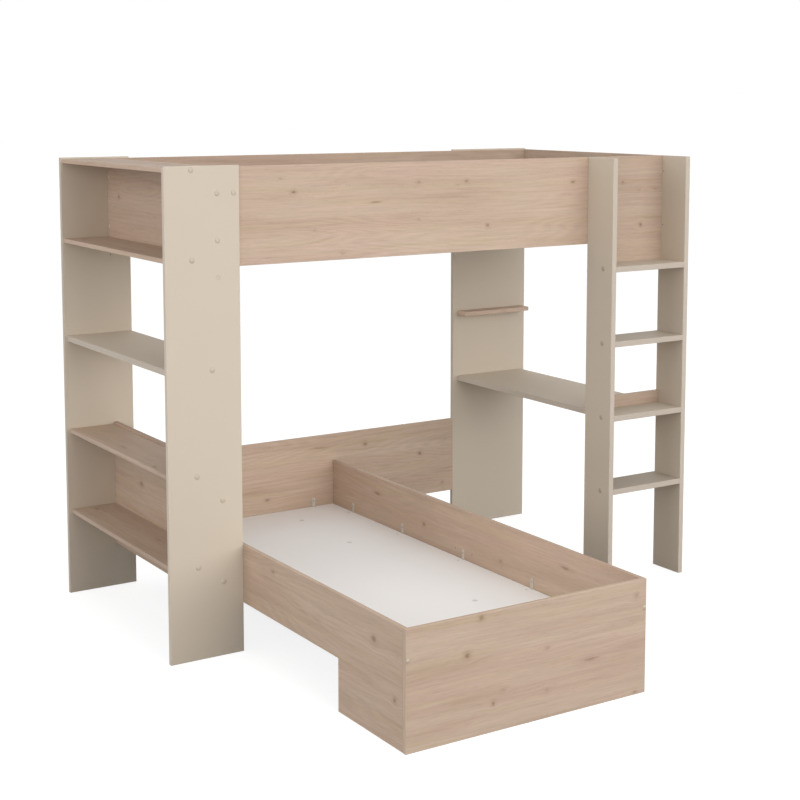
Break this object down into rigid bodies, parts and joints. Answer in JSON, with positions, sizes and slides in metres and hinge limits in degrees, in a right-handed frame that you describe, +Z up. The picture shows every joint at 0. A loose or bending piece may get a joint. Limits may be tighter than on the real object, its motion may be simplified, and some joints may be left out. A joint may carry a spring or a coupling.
{
  "type": "bunk bed",
  "caption": "Loft bunk bed in flat boards: open shelf tower, ladder, desk top and ledge under the loft, and a low second bed lying across underneath.",
  "frame": {"origin": "on the floor, at the middle of the bed's footprint box", "axes": "+X along the loft from the shelf tower to the ladder, +Y from the foot of the lower bed to the rear, +Z up"},
  "size_m": [2.228, 2.034, 1.718],
  "materials": {
    "beige_melamine": "matt melamine, plain",
    "oak_melamine": "matt melamine, pale oak decor",
    "white_melamine": "matt melamine, white",
    "white_plastic": "satin moulded plastic"
  },
  "bodies": {
    "root": {"desk_top": "beige_melamine", "ladder_back_board": "oak_melamine", "ladder_desk_rail": "oak_melamine", "ladder_left_side": "beige_melamine", "ladder_right_side": "beige_melamine", "ladder_step_1": "beige_melamine", "ladder_step_2": "beige_melamine", "ladder_step_3": "beige_melamine", "ladder_step_4": "beige_melamine", "ledge_shelf": "oak_melamine", "lower_batten_1": "white_melamine", "lower_batten_2": "white_melamine", "lower_batten_3": "white_melamine", "lower_batten_4": "white_melamine", "lower_batten_5": "white_melamine", "lower_bracket_a1": "white_plastic", "lower_bracket_a2": "white_plastic", "lower_bracket_a3": "white_plastic", "lower_bracket_a4": "white_plastic", "lower_bracket_a5": "white_plastic", "lower_bracket_b1": "white_plastic", "lower_bracket_b2": "white_plastic", "lower_bracket_b3": "white_plastic", "lower_bracket_b4": "white_plastic", "lower_bracket_b5": "white_plastic", "lower_end_bracket_a1": "white_plastic", "lower_end_bracket_a2": "white_plastic", "lower_end_bracket_b1": "white_plastic", "lower_end_bracket_b2": "white_plastic", "lower_foot_panel": "oak_melamine", "lower_left_rail": "oak_melamine", "lower_mattress_base": "white_melamine", "lower_rear_panel": "oak_melamine", "lower_right_rail": "oak_melamine", "rear_post_panel": "beige_melamine", "tower_back_panel": "beige_melamine", "tower_bottom_shelf": "oak_melamine", "tower_front_panel": "beige_melamine", "tower_low_shelf": "oak_melamine", "tower_lower_back_panel": "oak_melamine", "tower_middle_shelf": "beige_melamine", "tower_top_shelf": "oak_melamine", "tower_upper_shelf": "oak_melamine", "upper_back_rail": "oak_melamine", "upper_batten_1": "white_melamine", "upper_batten_2": "white_melamine", "upper_batten_3": "white_melamine", "upper_batten_4": "white_melamine", "upper_bracket_a1": "white_plastic", "upper_bracket_a2": "white_plastic", "upper_bracket_a3": "white_plastic", "upper_bracket_a4": "white_plastic", "upper_bracket_b1": "white_plastic", "upper_bracket_b2": "white_plastic", "upper_bracket_b3": "white_plastic", "upper_bracket_b4": "white_plastic", "upper_front_rail": "oak_melamine", "upper_left_end_board": "oak_melamine", "upper_mattress_base": "white_melamine", "upper_right_end_board": "oak_melamine"}
  },
  "joints": []
}
